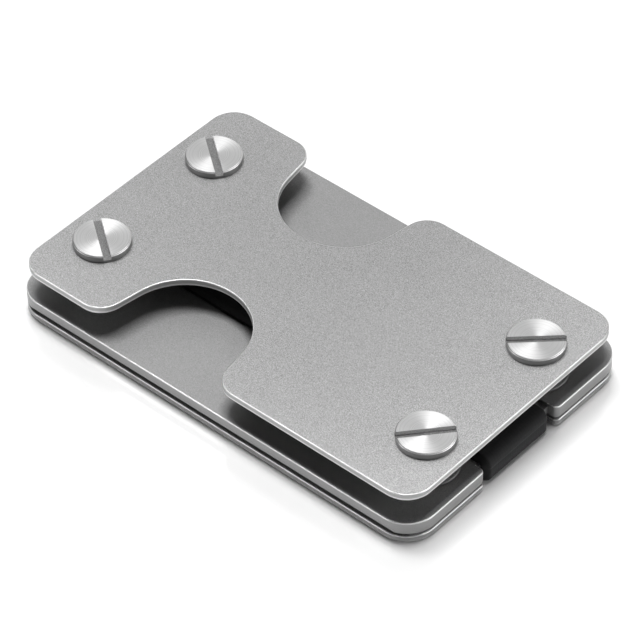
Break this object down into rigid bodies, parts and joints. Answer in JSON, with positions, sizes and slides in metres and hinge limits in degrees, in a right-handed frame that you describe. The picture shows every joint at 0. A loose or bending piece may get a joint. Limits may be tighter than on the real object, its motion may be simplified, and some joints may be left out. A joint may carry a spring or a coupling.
{
  "type": "minimalist wallet",
  "caption": "Slim metal wallet: card plates held together by an elastic loop, and a notched front plate on screwed posts for folded cash.",
  "frame": {"origin": "centre of the wallet at the underside of the elastic loop, which is what it rests on", "axes": "+X along the wallet, towards the end away from the thumb notches; +Y across it; +Z out of the front plate"},
  "size_m": [0.09, 0.0566, 0.0116],
  "materials": {
    "plate_metal": "bead-blasted, satin silver",
    "turned_steel": "turned, bright",
    "elastic": "matt black woven elastic"
  },
  "bodies": {
    "back": {"back_plate": "plate_metal", "elastic_strap": "elastic"},
    "front": {"card_plate": "plate_metal", "front_plate": "plate_metal", "screw_left_near": "turned_steel", "screw_left_far": "turned_steel", "screw_right_near": "turned_steel", "screw_right_far": "turned_steel", "washer_left_near": "turned_steel", "washer_left_far": "turned_steel", "washer_right_near": "turned_steel", "washer_right_far": "turned_steel", "spacer_left_near": "turned_steel", "spacer_left_far": "turned_steel", "spacer_right_near": "turned_steel", "spacer_right_far": "turned_steel", "nut_left_near": "turned_steel", "nut_left_far": "turned_steel", "nut_right_near": "turned_steel", "nut_right_far": "turned_steel"}
  },
  "joints": [
    {"name": "plate_spread", "type": "slide", "parent": "back", "child": "front", "axis": [0, 0, 1], "range_m": [0, 0.0084], "stiffness_N_per_m": 1500, "springref_m": -0.003, "deforming": ["elastic_strap"]}
  ]
}
